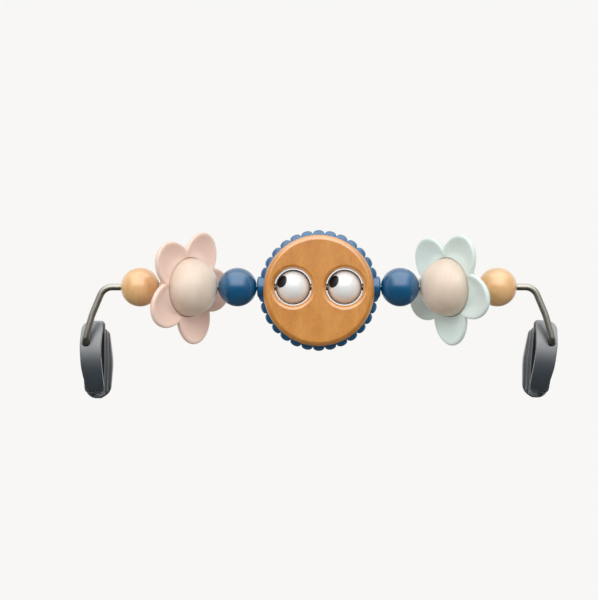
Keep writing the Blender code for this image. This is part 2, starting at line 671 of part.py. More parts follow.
def make_clip(side_name, side, materials, bar):
    name = side_name + "_clip"
    lean = Matrix.Rotation(side * CLIP_LEANS[side], 3, "Y")
    pin = add_empty(name + "_pin", (side * PIN_X, 0, -PIN_DROP), bar, lean)
    crown, rear = CLIP_STANDOFF, CLIP_STANDOFF + CLIP_DEPTH
    low, high = CLIP_BOTTOM - CUT_OVERRUN, CLIP_TOP_TO_PIN + CUT_OVERRUN
    jaw = JAW_FACE - SEAT_GAP
    layers = [(crown - CUT_OVERRUN, wall_layer()), (jaw - JAW_STEP_BEVEL, wall_layer())]
    for number in range(JAW_STEPS):
        start = jaw + number * JAW_STEP_DEPTH
        end = start + JAW_STEP_DEPTH - JAW_STEP_BEVEL
        end = rear + CUT_OVERRUN if number == JAW_STEPS - 1 else end
        layers += [(start, jaw_layer(number)), (end, jaw_layer(number))]
    shape = stack([clip_outline(depth, side, *layer) for depth, layer in layers])
    shell = add_object(name + "_shell", shape, materials["clip"], pin)

    faces = arched(crown, FRONT_ARCH, low, high, 1) + arched(rear, REAR_ARCH, high, low, -1)
    past = JAW_REACH + JAW_STEPS * JAW_STEP_OUT + CUT_OVERRUN
    faces = across_prism(faces, side, -CLIP_OUTER_TO_PIN - CUT_OVERRUN, past)
    combine(shell, add_cutter(name + "_faces", faces, pin), "INTERSECT")

    cavity = arched(crown + FRONT_WALL, FRONT_ARCH, low, high, 1)
    cavity += [(JAW_FACE, high), (JAW_FACE, low)]
    cavity = across_prism(cavity, side, CLIP_SPINE - CLIP_OUTER_TO_PIN, past)
    combine(shell, add_cutter(name + "_channel", cavity, pin), "DIFFERENCE")

    mouth = crown + FRONT_ARCH + PIN_MOUTH_DEPTH
    pocket = WASHER_RADIUS + WASHER_POCKET_GAP
    profile = [
        (0, crown - CUT_OVERRUN),
        (ROD_RADIUS + PIN_MOUTH_GAP, crown - CUT_OVERRUN),
        (ROD_RADIUS + PIN_MOUTH_GAP, mouth),
        (BORE_RADIUS, mouth),
        (BORE_RADIUS, WASHER_SEAT),
        (pocket, WASHER_SEAT),
        (pocket, rear + CUT_OVERRUN),
        (0, rear + CUT_OVERRUN),
    ]
    bore = moved(lathe(profile, BALL_SIDES), ALONG_Y)
    combine(shell, add_cutter(name + "_bore", bore, pin), "DIFFERENCE")

    low = WASHER_SEAT + SEAT_GAP
    washer = moved(tube(BORE_RADIUS, WASHER_RADIUS, low, low + WASHER_THICKNESS), ALONG_Y)
    add_object(side_name + "_retaining_washer", washer, materials["steel"], pin)

    pocket = add_cutter(name + "_liner_pocket", liner_block(side, SEAT_GAP), pin)
    combine(shell, pocket, "DIFFERENCE")
    add_object(name + "_liner", liner_block(side, 0.0), materials["liner"], pin)


def make_materials():
    return {
        "steel": make_material("satin_steel", (150, 146, 136), 0.32, 1.0),
        "natural": make_material("oiled_beech", (224, 176, 116), 0.4),
        "blue": make_material("blue_lacquer", (24, 84, 136), 0.22),
        "ball": make_material("pale_birch", (236, 222, 204), 0.6),
        "left_petals": make_material("pink_plastic", (236, 206, 194), 0.5),
        "right_petals": make_material("mint_plastic", (198, 220, 212), 0.5),
        "disc": make_material("amber_beech", (212, 148, 82), 0.45),
        "plate": make_material("blue_plate", (26, 88, 138), 0.3),
        "eye": make_material("white_plastic", (244, 245, 243), 0.25),
        "pupil": make_material("black_plastic", (22, 22, 26), 0.2),
        "sleeve": make_material("clear_nylon", (225, 225, 220), 0.5),
        "bush": make_material("nylon_bush", (225, 225, 220), 0.5),
        "dowel": make_material("birch_dowel", (222, 200, 165), 0.7),
        "clip": make_material("slate_plastic", (78, 86, 92), 0.35),
        "liner": make_material("soft_liner", (52, 58, 62), 0.8),
    }


def main():
    clear_scene()
    materials = make_materials()
    bar = add_empty("bar_axis", BAR_AXIS)
    make_rod(materials["steel"], bar)
    for side_name, side in SIDES.items():
        make_bead(side_name + "_blue_bead", side * BLUE_BEAD_X, materials["blue"], bar)
        make_bead(side_name + "_natural_bead", side * NATURAL_BEAD_X, materials["natural"], bar)
        make_flower(side_name, side, materials, bar)
        make_eye(side_name, side, materials, bar)
        make_clip(side_name, side, materials, bar)
    make_disc(materials, bar)


main()
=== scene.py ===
"""Looks of the toy bar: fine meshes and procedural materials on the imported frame."""

import json
import math

import bmesh
import bpy
import numpy as np
from mathutils import Matrix, Vector

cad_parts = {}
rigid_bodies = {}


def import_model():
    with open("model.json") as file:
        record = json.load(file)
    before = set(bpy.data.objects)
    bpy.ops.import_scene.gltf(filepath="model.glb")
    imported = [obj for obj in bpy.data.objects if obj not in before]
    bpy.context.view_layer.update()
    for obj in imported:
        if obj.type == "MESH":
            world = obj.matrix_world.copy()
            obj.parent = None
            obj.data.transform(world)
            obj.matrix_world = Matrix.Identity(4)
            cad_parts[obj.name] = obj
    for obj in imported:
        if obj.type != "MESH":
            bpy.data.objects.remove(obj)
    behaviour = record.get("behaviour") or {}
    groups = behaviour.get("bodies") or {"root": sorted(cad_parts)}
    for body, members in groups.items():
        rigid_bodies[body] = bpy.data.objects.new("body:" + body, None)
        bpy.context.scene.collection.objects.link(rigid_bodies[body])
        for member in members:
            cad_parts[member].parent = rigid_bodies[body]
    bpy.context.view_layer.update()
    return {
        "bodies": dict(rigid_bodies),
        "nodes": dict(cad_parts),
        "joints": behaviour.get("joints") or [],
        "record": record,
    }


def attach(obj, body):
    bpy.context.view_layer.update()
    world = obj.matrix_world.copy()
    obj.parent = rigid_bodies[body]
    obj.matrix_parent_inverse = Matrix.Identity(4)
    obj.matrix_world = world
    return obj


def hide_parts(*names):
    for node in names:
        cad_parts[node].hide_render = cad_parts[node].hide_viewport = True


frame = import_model()

# Places and sizes, in metres. All but the eyeballs' radius are as in the solids
BAR = Vector((0.0, -0.0205, 0.06675))
ROD_RADIUS = 0.003
BORE_RADIUS = 0.0034
BEAD_RADIUS = 0.0175
BLUE_BEAD_X = 0.0731
NATURAL_BEAD_X = 0.1607
FLOWER_X = 0.1169
FLOWER_BALL_RADIUS = 0.0263
FLOWER_TURN = math.radians(52.0)
FLOWER_SPINS = {-1: math.radians(5.8), 1: math.radians(8.6)}
WEB_FRONT, WEB_BACK = -0.002, -0.005
EYE_X = 0.0231
EYE_RADIUS = 0.0158  # 0.55 mm more than the solids'
PUPIL_RADIUS = 0.00565
PUPIL_LOOK = Vector((-0.665, -0.67, 0.33))
DISC_DROP = 0.003
DISC_RADIUS = 0.0498
WOOD_LOW, WOOD_HIGH = 0.0063, 0.0138
BOSS_END_X = 0.0553
PIN_X, PIN_DROP = 0.211, 0.0497
CLIP_LEANS = {-1: 0.0, 1: math.radians(4.9)}
SIDES = {"left": -1, "right": 1}

ALONG_X = Matrix.Rotation(math.pi / 2, 4, "Y")
ALONG_Y = Matrix.Rotation(-math.pi / 2, 4, "X")


def linear(part):
    share = part / 255
    return share / 12.92 if share <= 0.04045 else ((share + 0.055) / 1.055) ** 2.4


def shade(red, green, blue):
    return (linear(red), linear(green), linear(blue), 1.0)


# Camera

PHOTO_WIDTH = 598  # pixels
PIXEL = 0.0009  # of the bar's plane, in each pixel
CAMERA_AWAY = 1.15
SHIFT_X, SHIFT_Y = -19.8, -12.9  # pixels
SENSOR = 36.0


def make_camera():
    """The photograph's framing."""
    data = bpy.data.cameras.new("camera")
    camera = bpy.data.objects.new("camera", data)
    bpy.context.scene.collection.objects.link(camera)
    bpy.context.scene.camera = camera
    camera.location = (0.0, BAR.y - CAMERA_AWAY, BAR.z)
    camera.rotation_euler = (math.radians(90.0), 0.0, 0.0)
    data.sensor_fit = "HORIZONTAL"
    data.sensor_width = SENSOR
    data.lens = SENSOR * CAMERA_AWAY / (PHOTO_WIDTH * PIXEL)
    data.shift_x = SHIFT_X / PHOTO_WIDTH
    data.shift_y = SHIFT_Y / PHOTO_WIDTH
    data.clip_start, data.clip_end = 0.01, 30.0


make_camera()

# Node helpers


class Recipe:
    """A node tree, built one call at a time: a new material's, or the tree given."""

    def __init__(self, name="", tree=None):
        self.tree = tree
        if tree is None:
            self.material = bpy.data.materials.new(name)
            self.material.use_nodes = True
            self.tree = self.material.node_tree
            self.shader = self.tree.nodes["Principled BSDF"]
            self.place = self.add("ShaderNodeTexCoord").outputs["Object"]

    def add(self, kind, inputs=None, **settings):
        node = self.tree.nodes.new(kind)
        for key, value in settings.items():
            setattr(node, key, value)
        for key, value in (inputs or {}).items():
            self.set(node.inputs[key], value)
        return node

    def set(self, socket, value):
        if isinstance(value, bpy.types.NodeSocket):
            self.tree.links.new(value, socket)
        else:
            socket.default_value = value

    def math(self, operation, first, second=0.0, third=0.0, clamp=False):
        node = self.add("ShaderNodeMath", {0: first, 1: second, 2: third}, operation=operation)
        node.use_clamp = clamp
        return node.outputs[0]

    def stretched(self, scale, turn=(0.0, 0.0, 0.0), shift=(0.0, 0.0, 0.0), source=None):
        """The object's coordinates turned, then scaled."""
        turned = self.add(
            "ShaderNodeMapping", {"Vector": source or self.place, "Rotation": turn, "Location": shift}
        )
        return self.add(
            "ShaderNodeVectorMath", {0: turned.outputs[0], 1: scale}, operation="MULTIPLY"
        ).outputs[0]

    def noise(self, place, scale=1.0, detail=2.0, rough=0.5, twist=0.0):
        return self.add(
            "ShaderNodeTexNoise",
            {"Vector": place, "Scale": scale, "Detail": detail, "Roughness": rough, "Distortion": twist},
        ).outputs["Fac"]

    def spread(self, value, low, high, to_low=0.0, to_high=1.0, curve="LINEAR"):
        return self.add(
            "ShaderNodeMapRange",
            {"Value": value, "From Min": low, "From Max": high, "To Min": to_low, "To Max": to_high},
            interpolation_type=curve,
        ).outputs[0]

    def ramp(self, value, *stops):
        node = self.add("ShaderNodeValToRGB", {"Fac": value})
        points = node.color_ramp.elements
        while len(points) < len(stops):
            points.new(0.5)
        for point, (where, _) in zip(points, stops):
            point.position = where
        for point, (_, colour) in zip(points, stops):
            point.color = shade(*colour)
        return node.outputs["Color"]

    def mix(self, share, first, second, blend="MIX"):
        node = self.add("ShaderNodeMix", data_type="RGBA", blend_type=blend)
        self.set(node.inputs[0], share)
        self.set(node.inputs[6], first)
        self.set(node.inputs[7], second)
        return node.outputs[2]

    def bump(self, height, strength, distance, under=None):
        inputs = {"Height": height, "Strength": strength, "Distance": distance}
        if under:
            inputs["Normal"] = under
        return self.add("ShaderNodeBump", inputs).outputs[0]

    def finish(self, **inputs):
        for key, value in inputs.items():
            self.set(self.shader.inputs[key.replace("_", " ")], value)
        return self.material


# Materials


def wood(name, colours, turn, shift, grain=1.0, fleck=0.5, rough=0.45, coat=0.0, streak=1.0, sheen=1.5):
    """Close-grained wood, its fibres along the turned X axis. Sheen is the coat's index."""
    dark, middle, light, pore = colours
    r = Recipe(name)
    bend = r.noise(r.stretched((9.0, 26.0, 26.0), turn, shift), detail=1.0)
    base = r.stretched((6.0, 42.0, 42.0), turn, shift)
    bent = r.add(
        "ShaderNodeVectorMath", {0: base, 1: r.math("MULTIPLY", bend, 1.3)}, operation="ADD"
    ).outputs[0]
    rings = r.add(
        "ShaderNodeTexWave",
        {"Vector": bent, "Scale": 1.7, "Distortion": 1.6, "Detail": 2.0, "Detail Scale": 1.4},
        wave_type="RINGS",
        rings_direction="X",
    ).outputs["Fac"]
    cloud = r.noise(r.stretched((34.0, 60.0, 60.0), turn, shift), detail=3.0, rough=0.55)
    mottle = r.noise(r.stretched((300.0, 620.0, 620.0), turn, shift), detail=3.0, rough=0.6)
    fibre = r.noise(r.stretched((160.0, 2100.0, 2100.0), turn, shift), detail=2.0, rough=0.6)
    tone = r.math("MULTIPLY_ADD", r.math("SUBTRACT", rings, 0.5), 0.34 * grain, cloud)
    tone = r.math("MULTIPLY_ADD", r.math("SUBTRACT", mottle, 0.5), 0.9 * streak, tone)
    tone = r.math("MULTIPLY_ADD", r.math("SUBTRACT", fibre, 0.5), 0.5 * streak, tone)
    colour = r.ramp(tone, (0.14, dark), (0.5, middle), (0.86, light))
    cells = r.stretched((420.0, 1500.0, 1500.0), turn, shift)
    dots = r.add(
        "ShaderNodeTexVoronoi", {"Vector": cells, "Scale": 1.0, "Randomness": 1.0}
    ).outputs["Distance"]
    dots = r.spread(dots, 0.10, 0.34, 1.0, 0.0)
    thin = r.spread(r.noise(r.stretched((120.0, 300.0, 300.0), turn, shift)), 0.45, 0.68)
    dots = r.math("MULTIPLY", dots, thin, clamp=True)
    colour = r.mix(r.math("MULTIPLY", dots, fleck), colour, shade(*pore))
    height = r.math("MULTIPLY_ADD", dots, -0.6, r.math("MULTIPLY", fibre, 0.5))
    normal = r.bump(height, 0.1, 0.00015)
    gloss = r.spread(fibre, 0.3, 0.7, rough - 0.04, rough + 0.05)
    return r.finish(
        Base_Color=colour, Roughness=gloss, Normal=normal,
        Coat_Weight=coat, Coat_Roughness=0.2, Coat_IOR=sheen,
    )


def lacquer(name, deep, body, rough=0.34):
    """Opaque paint over wood: faint clouds, a fine orange peel and a few dust nibs."""
    r = Recipe(name)
    cloud = r.noise(r.stretched((60.0, 60.0, 60.0)), detail=3.0)
    colour = r.ramp(cloud, (0.25, deep), (0.75, body))
    peel = r.noise(r.stretched((900.0, 900.0, 900.0)), detail=2.0)
    nibs = r.spread(r.noise(r.stretched((420.0, 420.0, 420.0)), detail=0.0), 0.74, 0.8)
    height = r.math("MULTIPLY_ADD", nibs, 0.5, peel)
    normal = r.bump(height, 0.07, 0.0003)
    gloss = r.spread(cloud, 0.3, 0.7, rough - 0.03, rough + 0.04)
    return r.finish(
        Base_Color=colour, Roughness=gloss, Normal=normal, Coat_Weight=1.0, Coat_Roughness=0.14
    )


def plastic(
    name, deep, body, rough, bump=0.12, size=700.0, spots=0.0, shine=0.5,
    coat=0.0, sheen=1.5, haze=0.05, soft=0.0, reach=0.005,
):
    """Moulded plastic: a fine spark-eroded texture and a slight change of tone.

    Coat, sheen and haze are the coat's weight, index and roughness. Soft and reach are the
    weight and depth of the light that passes below the surface.
    """
    r = Recipe(name)
    cloud = r.noise(r.stretched((45.0, 45.0, 45.0)), detail=3.0, rough=0.55)
    fine = r.noise(r.stretched((size, size, size)), detail=3.0, rough=0.65)
    tone = r.math("MULTIPLY_ADD", r.math("SUBTRACT", fine, 0.5), spots, cloud)
    colour = r.ramp(tone, (0.3, deep), (0.7, body))
    normal = r.bump(fine, bump, 0.0002)
    gloss = r.spread(fine, 0.3, 0.7, rough - 0.05, rough + 0.05)
    if soft:
        r.finish(Subsurface_Weight=soft, Subsurface_Scale=reach, Subsurface_Radius=(1.0, 0.9, 0.85))
    r.finish(Coat_Weight=coat, Coat_IOR=sheen, Coat_Roughness=haze, Specular_IOR_Level=shine)
    return r.finish(Base_Color=colour, Roughness=gloss, Normal=normal)


def steel(name, tone, rough, along=None):
    """Satin steel with fine draw lines, along the wire where it has a map for that."""
    r = Recipe(name)
    if along:
        where = r.add("ShaderNodeUVMap", uv_map=along).outputs[0]
        lines = r.noise(r.stretched((35.0, 60.0, 1.0), source=where), detail=4.0, rough=0.7)
    else:
        lines = r.noise(r.stretched((800.0, 800.0, 800.0)), detail=4.0, rough=0.7)
    cloud = r.noise(r.stretched((70.0, 70.0, 70.0)), detail=2.0)
    value = r.math("MULTIPLY_ADD", lines, 0.5, r.math("MULTIPLY", cloud, 0.5))
    dark = tuple(part * 0.93 for part in tone)
    colour = r.ramp(value, (0.3, dark), (0.7, tone))
    gloss = r.spread(lines, 0.25, 0.75, rough - 0.04, rough + 0.05)
    normal = r.bump(lines, 0.02, 0.0001)
    return r.finish(Base_Color=colour, Metallic=1.0, Roughness=gloss, Normal=normal)


# Mesh helpers


def to_mesh(name, shape, sharp=35.0):
    mesh = bpy.data.meshes.new(name)
    bmesh.ops.recalc_face_normals(shape, faces=shape.faces)
    shape.to_mesh(mesh)
    shape.free()
    mesh.shade_smooth()
    mesh.set_sharp_from_angle(angle=math.radians(sharp))
    return mesh


def helper(name, shape):
    """An object that is only used to shape others."""
    made = bpy.data.objects.new(name, to_mesh(name, shape))
    bpy.context.scene.collection.objects.link(made)
    return made


def discard(*found):
    for one in found:
        mesh = one.data
        bpy.data.objects.remove(one, do_unlink=True)
        bpy.data.meshes.remove(mesh)


def baked(made):
    """The object's mesh with its modifiers applied."""
    graph = bpy.context.evaluated_depsgraph_get()
    mesh = bpy.data.meshes.new_from_object(made.evaluated_get(graph))
    old = made.data
    made.modifiers.clear()
    made.data = mesh
    bpy.data.meshes.remove(old)
    return made


def cut(made, *cutters, operation="DIFFERENCE", sharp=35.0):
    for cutter in cutters:
        modifier = made.modifiers.new(cutter.name, "BOOLEAN")
        modifier.operation = operation
        modifier.object = cutter
    baked(made)
    made.data.shade_smooth()
    made.data.set_sharp_from_angle(angle=math.radians(sharp))
    return made


def moved(shape, matrix):
    bmesh.ops.transform(shape, matrix=matrix, verts=shape.verts)
    return shape


def at(x=0.0, y=0.0, z=0.0):
    """A place measured from the bar's middle."""
    return Matrix.Translation(BAR + Vector((x, y, z)))


def piece(name, shape, material, body, slot, *nodes, sharp=35.0):
    made = shape if isinstance(shape, bpy.types.Object) else helper(name, shape)
    made.name = name
    made.data.name = name
    made.data.materials.clear()
    made.data.materials.append(material)
    if nodes:
        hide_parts(*nodes)
    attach(made, body)
    return made


def arc(radius, start, end, steps, across=0.0, along=0.0):
    """(radius, along) points of a circle; angles are in degrees from the turning axis."""
    angles = np.radians(np.linspace(start, end, steps + 1))
    return [(across + radius * math.sin(a), along + radius * math.cos(a)) for a in angles]


def rounded(corners, steps=5):
    """A closed profile of (across, along, radius) corners with each corner rounded."""
    places = [Vector(corner[:2]) for corner in corners]
    points = []
    for here, corner in enumerate(corners):
        point, radius = places[here], corner[2]
        if radius == 0:
            points.append(tuple(point))
            continue
        back = (places[here - 1] - point).normalized()
        ahead = (places[(here + 1) % len(places)] - point).normalized()
        half = back.angle(ahead) / 2
        reach = radius / math.tan(half)
        centre = point + (back + ahead).normalized() * (radius / math.sin(half))
        start, end = point + back * reach - centre, point + ahead * reach - centre
        sweep = start.angle(end)
        for step in range(steps + 1):
            share = step / steps
            first = math.sin((1 - share) * sweep) / math.sin(sweep)
            last = math.sin(share * sweep) / math.sin(sweep)
            points.append(tuple(centre + start * first + end * last))
    return points


def lathe(profile, sides=96):
    """A solid turned about Z from a closed profile of (radius, along) points."""
    shape = bmesh.new()
    rings = []
    for radius, along in profile:
        turns = 1 if radius < 1e-7 else sides
        angles = [2 * math.pi * turn / turns for turn in range(turns)]
        rings.append([shape.verts.new((radius * math.cos(a), radius * math.sin(a), along)) for a in angles])
    for ring, following in zip(rings, rings[1:] + rings[:1]):
        for turn in range(sides):
            corners = [
                ring[turn % len(ring)],
                ring[(turn + 1) % len(ring)],
                following[(turn + 1) % len(following)],
                following[turn % len(following)],
            ]
            corners = list(dict.fromkeys(corners))
            if len(corners) > 2:
                shape.faces.new(corners)
    return shape


def loft(rings, closed=False, capped=True):
    """A skin through rings of points that all have as many points."""
    shape = bmesh.new()
    rings = [[shape.verts.new(point) for point in ring] for ring in rings]
    for ring, following in zip(rings, rings[1:] + (rings[:1] if closed else [])):
        for here in range(len(ring)):
            after = (here + 1) % len(ring)
            shape.faces.new([ring[here], ring[after], following[after], following[here]])
    if capped and not closed:
        shape.faces.new(rings[0])
        shape.faces.new(rings[-1])
    return shape


# Rod


def bent_path(corners, steps):
    """Points along straight runs joined by round bends; corners are (point, bend radius)."""
    places = [Vector(point) for point, _ in corners]
    path = [places[0]]
    for before, here, after, (_, radius) in zip(places, places[1:], places[2:], corners[1:]):
        back, ahead = (before - here).normalized(), (after - here).normalized()
        half = back.angle(ahead) / 2
        centre = here + (back + ahead).normalized() * (radius / math.sin(half))
        reach = radius / math.tan(half)
        start, end = here + back * reach - centre, here + ahead * reach - centre
        path += [centre + start.slerp(end, step / steps) * radius for step in range(steps + 1)]
    return path + [places[-1]]


def tube(path, radius, sides, ease):
    """A round wire along a path, with eased ends and a map along and round it."""
    path = [Vector(point) for point in path]
    ahead = [(after - here).normalized() for here, after in zip(path, path[1:])]
    ahead = [ahead[0]] + [(a + b).normalized() for a, b in zip(ahead, ahead[1:])] + [ahead[-1]]
    side = Vector((0.0, 1.0, 0.0)).cross(ahead[0])
    side = side.normalized() if side.length > 0.1 else Vector((1.0, 0.0, 0.0))
    stations = []
    length = 0.0
    for here, (point, along) in enumerate(zip(path, ahead)):
        length += (point - path[here - 1]).length if here else 0.0
        side = (side - along * side.dot(along)).normalized()
        stations.append((point, along, side, radius, length))
    first, last = stations[0], stations[-1]
    stations[0] = (first[0] + first[1] * ease, *first[1:])
    stations.insert(0, (first[0], first[1], first[2], radius - ease, first[4]))
    stations[-1] = (last[0] - last[1] * ease, *last[1:])
    stations.append((last[0], last[1], last[2], radius - ease, last[4]))
    shape = bmesh.new()
    uv = shape.loops.layers.uv.new("length")
    rings = []
    for point, along, side, size, _ in stations:
        other = along.cross(side)
        turns = [2 * math.pi * step / sides for step in range(sides)]
        round_it = [side * math.cos(turn) + other * math.sin(turn) for turn in turns]
        rings.append([shape.verts.new(point + outward * size) for outward in round_it])
    for here, (ring, following) in enumerate(zip(rings, rings[1:])):
        for step in range(sides):
            after = (step + 1) % sides
            face = shape.faces.new([ring[step], ring[after], following[after], following[step]])
            spots = [(here, step), (here, step + 1), (here + 1, step + 1), (here + 1, step)]
            for loop, (station, turn) in zip(face.loops, spots):
                loop[uv].uv = (stations[station][4], turn / sides)
    shape.faces.new(rings[0])
    shape.faces.new(rings[-1])
    return shape


PIN_END = 0.0353  # behind the bar's plane
KNEE, SHOULDER = (-0.204, 0.0, -0.025), (-0.1935, 0.0, 0.0)
PIN_BEND, KNEE_BEND, SHOULDER_BEND = 0.0055, 0.045, 0.0115


def make_rod(material):
    half = [
        ((-PIN_X, PIN_END, -PIN_DROP), 0.0),
        ((-PIN_X, 0.0, -PIN_DROP), PIN_BEND),
        (KNEE, KNEE_BEND),
        (SHOULDER, SHOULDER_BEND),
    ]
    other = [((-x, y, z), radius) for (x, y, z), radius in reversed(half)]
    path = bent_path(half + other, 14)
    shape = moved(tube(path, ROD_RADIUS, 40, 0.0005), at())
    piece("rod", shape, material, "bar", "steel", "bar_rod")


# Beads


def ball_profile(radius, bore, lip=0.0007, steps=44):
    """Half outline of a bored ball, its edges at the bore rounded."""
    mouth = math.degrees(math.asin((bore + lip) / radius))
    skin = arc(radius, mouth, 180.0 - mouth, steps)
    top = skin[0][1] - lip
    corner = [(bore + lip * (1 - math.sin(a)), top + lip * math.cos(a)) for a in (1.3, 0.9, 0.5)]
    return [(bore, top)] + corner + skin + [(x, -z) for x, z in reversed(corner)] + [(bore, -top)]


def make_beads(natural, blue):
    for side_name, side in SIDES.items():
        for kind, x, material, slot in (
            ("natural_bead", NATURAL_BEAD_X, natural[side_name], "natural_wood"),
            ("blue_bead", BLUE_BEAD_X, blue, "blue_lacquer"),
        ):
            shape = moved(lathe(ball_profile(BEAD_RADIUS, BORE_RADIUS)), at(side * x) @ ALONG_X)
            node = f"{side_name}_{kind}"
            piece(node + "_turned", shape, material, node, slot, node)


# Flowers


def flower_frame(side):
    """Columns are the ring's sideways direction, up, and the petals' normal."""
    lean = -side * math.sin(FLOWER_TURN)
    sideways = Vector((math.cos(FLOWER_TURN), lean, 0))
    normal = Vector((lean, -math.cos(FLOWER_TURN), 0))
    frame = Matrix((sideways, Vector((0, 0, 1)), normal)).transposed()
    return Matrix.Rotation(FLOWER_SPINS[side], 3, "X") @ frame


PETALS = 5
PETAL_FIRST = math.radians(27.3)
PETAL_CENTRE, PETAL_LONG, PETAL_WIDE = 0.0284, 0.0243, 0.0202
LIP_FRONT, LIP_BACK = 0.0016, -0.0085
CUP_FLOOR, RIM_FRONT, RIM_BACK, PETAL_BACK = -0.0006, 0.0048, -0.0015, -0.0055
CUP_POWER, LIP_SHARE = 2.1, 0.3
WEB_BORE = 0.0112  # of the petals' web between the ball's halves
HUB = FLOWER_BALL_RADIUS + 0.0005  # where the petals leave the ball
SLEEVE_BORE = 0.0049
DENSE_FROM = 0.86  # share of a petal beyond which its steps close up


def petal_section(across, reach):
    """Height of a petal's front and back at a share of the way from its middle to its outline."""
    rim_half = (RIM_FRONT - RIM_BACK) / 2
    cup = reach**CUP_POWER
    front = CUP_FLOOR + (RIM_FRONT - CUP_FLOOR) * cup
    back = PETAL_BACK + (RIM_BACK - PETAL_BACK) * cup
    past = max(0.0, (reach - 1) * PETAL_WIDE / rim_half + 1)
    fullness = math.sqrt(max(0.0, 1 - past * past))
    middle, half = (front + back) / 2, (front - back) / 2 * fullness
    ease = min(1.0, across / LIP_SHARE)
    ease = ease * ease * (3 - 2 * ease)
    front = LIP_FRONT + (middle + half - LIP_FRONT) * ease
    back = LIP_BACK + (middle - half - LIP_BACK) * ease
    return front, back


def notch_angle():
    """Direction from a petal's middle to where its oval outline meets the next petal's."""
    along = math.cos(math.pi / PETALS) / PETAL_LONG
    aside = math.sin(math.pi / PETALS) / PETAL_WIDE
    middle = PETAL_CENTRE / PETAL_LONG
    size = along * along + aside * aside
    reach = along * middle + math.sqrt((along * middle) ** 2 - size * (middle * middle - 1))
    return math.atan2(reach / size * aside, reach / size * along - middle)


def petal_ring(steps=40):
    pitch = 2 * math.pi / PETALS
    notch_turn = notch_angle()
    inner = [DENSE_FROM * step / 18 for step in range(18)]
    outer = [DENSE_FROM + (1 - DENSE_FROM) * math.sin(math.pi / 2 * step / 12) for step in range(13)]
    front_shares = inner + outer
    back_shares = front_shares[-2::-1]
    loops = []
    for petal in range(PETALS):
        for step in range(steps):
            turn = notch_turn * (2 * step / steps - 1)
            ahead = PETAL_CENTRE + PETAL_LONG * math.cos(turn)
            sideways = PETAL_WIDE * math.sin(turn)
            rim, from_middle = math.hypot(ahead, sideways), math.atan2(sideways, ahead)
            direction = PETAL_FIRST + pitch * petal + from_middle
            across, up = math.sin(direction), math.cos(direction)
            loop = [(WEB_BORE, WEB_FRONT), (HUB - 0.0002, WEB_FRONT), (HUB, LIP_FRONT - 0.0006)]
            for shares, face in ((front_shares, 0), (back_shares, 1)):
                for share in shares:
                    radius = HUB + (rim - HUB) * share
                    if face == 0 and share == 0:
                        radius += 0.00025
                    along = (radius * math.cos(from_middle) - PETAL_CENTRE) / PETAL_LONG
                    reach = math.hypot(along, radius * math.sin(from_middle) / PETAL_WIDE)
                    height = petal_section(share, min(1.0, reach))[face]
                    loop.append((radius, height))
            loop += [(HUB - 0.0002, WEB_BACK), (WEB_BORE, WEB_BACK)]
            loops.append([(radius * across, radius * up, height) for radius, height in loop])
    return loft(loops, closed=True)


def dome(flat, pole):
    """One half of the flower's ball, from a flat cut out to a pole, with an eased edge."""
    radius, ease = FLOWER_BALL_RADIUS, 0.0005
    start = math.degrees(math.acos((flat + pole * ease) / radius))
    skin = arc(radius, start, 0 if pole > 0 else 180, 52)
    skin[-1] = (0.0, pole * radius)
    rim = [(skin[0][0] - ease, flat), (skin[0][0] - ease * 0.3, flat + pole * ease * 0.3)]
    return lathe([(0.0, flat)] + rim + skin, 128)


def make_flowers(ball, petals):
    bore = lathe([(0, -0.03), (SLEEVE_BORE, -0.03), (SLEEVE_BORE, 0.03), (0, 0.03)], 64)
    bore = helper("flower_bore", moved(bore, ALONG_X))
    for side_name, side in SIDES.items():
        body = side_name + "_flower"
        place = at(side * FLOWER_X) @ flower_frame(side).to_4x4()
        bore.matrix_world = at(side * FLOWER_X)
        for kind, flat, pole in (("front", WEB_FRONT + 0.0003, 1), ("rear", WEB_BACK - 0.0003, -1)):
            half = helper(f"{body}_{kind}", moved(dome(flat, pole), place))
            cut(half, bore)
            piece(f"{body}_{kind}_half", half, ball[side_name], body, "pale_wood", f"{body}_ball_{kind}")
        ring = moved(petal_ring(), place)
        slot = ("pink" if side < 0 else "mint") + "_petals"
        piece(body + "_ring", ring, petals[side_name], body, slot, body + "_petals", sharp=60.0)
    discard(bore)


# Eye disc


EDGE_WIDE, FOOT_EDGE = 0.0044, 0.0003
CREASE_SLOPES = [6.0 * step for step in range(1, 6)]  # degrees, from the face outward
EDGE_SLOPES = [30.0 + 2.2 * step for step in range(1, 23)]
EYE_HOLE, SINK_WIDE, SINK_DEEP = 0.0167, 0.0036, 0.0028
LOBES, LOBE_ROOT, LOBE_HEIGHT, LOBE_FACE_DROP = 30, 0.0512, 0.0033, 0.0012
PLATE_HALF = 0.006
BOSS_RADIUS, BOSS_START, BOSS_EDGE = 0.0098, 0.049, 0.0022


def disc_wood():
    """One wood disc about Z, its outer edge eased back behind a crease."""
    foot = [(0.0, WOOD_LOW), (DISC_RADIUS - FOOT_EDGE, WOOD_LOW), (DISC_RADIUS, WOOD_LOW + FOOT_EDGE)]
    walk = [(0.0, 0.0)]
    for slope in CREASE_SLOPES + EDGE_SLOPES:
        across, down = walk[-1]
        walk.append((across + math.cos(math.radians(slope)), down + math.sin(math.radians(slope))))
    scale = EDGE_WIDE / walk[-1][0]
    inside = DISC_RADIUS - EDGE_WIDE
    edge = [(inside + scale * across, WOOD_HIGH - scale * down) for across, down in reversed(walk)]
    return lathe(foot + edge + [(0.0, WOOD_HIGH)], 180)


